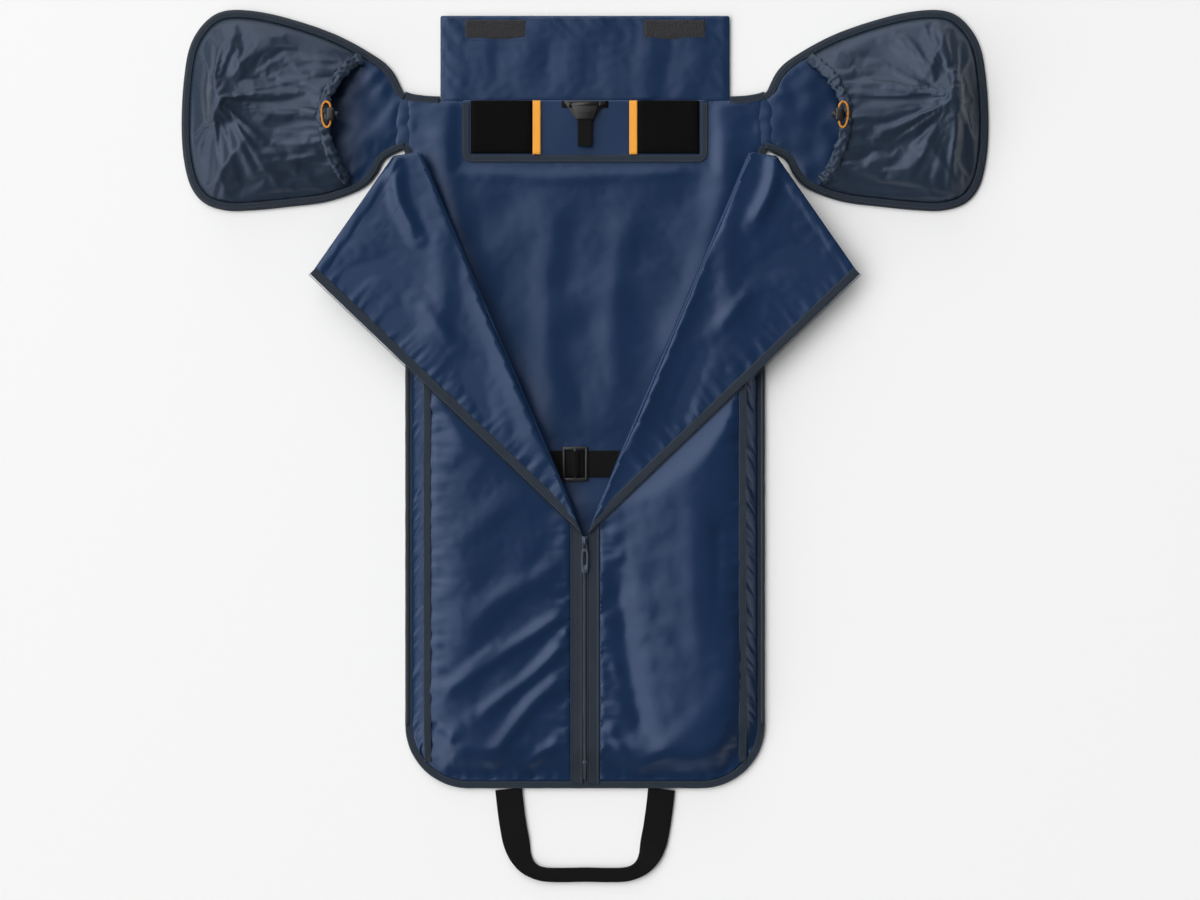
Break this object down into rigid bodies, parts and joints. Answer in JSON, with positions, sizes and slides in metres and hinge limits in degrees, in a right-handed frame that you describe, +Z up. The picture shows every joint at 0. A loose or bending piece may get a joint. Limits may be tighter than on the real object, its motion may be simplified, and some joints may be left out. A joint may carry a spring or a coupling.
{
  "type": "garment bag",
  "caption": "Soft garment bag laid open, with fold-back lapels, spread duffel ends with drawcord shoe pouches, a top flap and a carry handle.",
  "frame": {"origin": "centre of the underside, on the surface the bag lies on", "axes": "+Z up through the bag's thickness, +Y towards the hanger end, +X towards the right-hand duffel end"},
  "size_m": [1.146, 1.2343, 0.0773],
  "materials": {
    "shell_cloth": "ripstop nylon, matt dark slate",
    "navy_lining": "navy satin twill lining with a soft sheen",
    "slate_binding": "slate grosgrain tape, ribbed and stitched",
    "pouch_cloth": "slate-blue plain nylon",
    "black_webbing": "black woven webbing",
    "black_elastic": "black ribbed elastic",
    "amber_tape": "amber-orange tape",
    "orange_cord": "orange braided cord",
    "hook_fleece": "charcoal hook-and-loop fabric",
    "black_plastic": "moulded black acetal",
    "zip_coil": "slate nylon zip coil",
    "slate_pull": "slate-blue moulded pull",
    "zip_metal": "lacquered dark metal"
  },
  "bodies": {
    "bag": {"outer_shell": "shell_cloth", "back_lining": "navy_lining", "edge_binding": "slate_binding", "side_zip_left": "slate_binding", "side_zip_right": "slate_binding", "gusset_left": "navy_lining", "gusset_right": "navy_lining", "gusset_bottom": "navy_lining", "front_panel_left": "navy_lining", "front_panel_right": "navy_lining", "seam_band": "slate_binding", "zip_tape_left": "slate_binding", "zip_tape_right": "slate_binding", "zip_coil": "zip_coil", "zip_bottom_stop": "zip_metal", "hanger_panel": "navy_lining", "panel_binding": "slate_binding", "elastic_pocket_left": "black_elastic", "elastic_pocket_right": "black_elastic", "pocket_edgings": "amber_tape", "clip_anchor_tape": "black_webbing", "clip_base": "black_plastic", "clip_pin": "zip_metal", "compression_strap": "black_webbing"},
    "flap": {"top_flap": "shell_cloth", "flap_lining": "navy_lining", "hook_patches": "hook_fleece"},
    "zip_slider": {"zip_slider": "zip_metal"},
    "zip_pull": {"zip_pull": "slate_pull"},
    "hanger_lever": {"hanger_lever": "black_plastic", "clip_strap": "black_webbing"},
    "strap_buckle": {"strap_buckle": "black_plastic"},
    "carry_handle": {"carry_handle": "black_webbing"},
    "lapel_left": {"lapel_left": "navy_lining", "lapel_zip_left": "slate_binding", "loop_patch_left": "hook_fleece"},
    "wing_left": {"wing_panel_left": "shell_cloth", "wing_lining_left": "navy_lining", "wing_binding_left": "slate_binding", "wing_teeth_left": "zip_coil", "shoe_pouch_left": "pouch_cloth", "pouch_hem_left": "pouch_cloth", "cord_lock_left": "black_plastic", "lock_spring_left": "zip_metal", "drawcord_left": "orange_cord"},
    "lock_plunger_left": {"lock_plunger_left": "black_plastic"},
    "lapel_right": {"lapel_right": "navy_lining", "lapel_zip_right": "slate_binding", "loop_patch_right": "hook_fleece"},
    "wing_right": {"wing_panel_right": "shell_cloth", "wing_lining_right": "navy_lining", "wing_binding_right": "slate_binding", "wing_teeth_right": "zip_coil", "shoe_pouch_right": "pouch_cloth", "pouch_hem_right": "pouch_cloth", "cord_lock_right": "black_plastic", "lock_spring_right": "zip_metal", "drawcord_right": "orange_cord"},
    "lock_plunger_right": {"lock_plunger_right": "black_plastic"}
  },
  "joints": [
    {"name": "flap_fold", "type": "hinge", "parent": "bag", "child": "flap", "pos_m": [0, 0.4903, 0.0182], "axis": [1, 0, 0], "range_deg": [0, 180]},
    {"name": "lapel_left_fold", "type": "hinge", "parent": "bag", "child": "lapel_left", "pos_m": [-0.003, -0.128, 0.0285], "axis": [-0.3933, 0.9194, 0], "range_deg": [0, 180]},
    {"name": "lapel_right_fold", "type": "hinge", "parent": "bag", "child": "lapel_right", "pos_m": [0.003, -0.128, 0.0285], "axis": [-0.3933, -0.9194, 0], "range_deg": [0, 180]},
    {"name": "wing_left_fold", "type": "hinge", "parent": "bag", "child": "wing_left", "pos_m": [-0.2553, 0.466, 0.0055], "axis": [0, 1, 0], "range_deg": [0, 90]},
    {"name": "wing_right_fold", "type": "hinge", "parent": "bag", "child": "wing_right", "pos_m": [0.2553, 0.466, 0.0055], "axis": [0, -1, 0], "range_deg": [0, 90]},
    {"name": "zip_slide", "type": "slide", "parent": "bag", "child": "zip_slider", "axis": [0, -1, 0], "range_m": [0, 0.295]},
    {"name": "pull_swing", "type": "hinge", "parent": "zip_slider", "child": "zip_pull", "pos_m": [0, -0.136, 0.032], "axis": [-1, 0, 0], "range_deg": [0, 120]},
    {"name": "clip_open", "type": "hinge", "parent": "bag", "child": "hanger_lever", "pos_m": [0, 0.482, 0.0142], "axis": [1, 0, 0], "range_deg": [-80, 0]},
    {"name": "buckle_slide", "type": "slide", "parent": "bag", "child": "strap_buckle", "axis": [1, 0, 0], "range_m": [-0.06, 0.06]},
    {"name": "handle_lift", "type": "hinge", "parent": "bag", "child": "carry_handle", "pos_m": [0, -0.4879, 0.003], "axis": [-1, 0, 0], "range_deg": [0, 100]},
    {"name": "lock_left_press", "type": "slide", "parent": "wing_left", "child": "lock_plunger_left", "axis": [-1, 0, 0], "range_m": [0, 0.004], "stiffness_N_per_m": 400},
    {"name": "lock_right_press", "type": "slide", "parent": "wing_right", "child": "lock_plunger_right", "axis": [1, 0, 0], "range_m": [0, 0.004], "stiffness_N_per_m": 400}
  ]
}
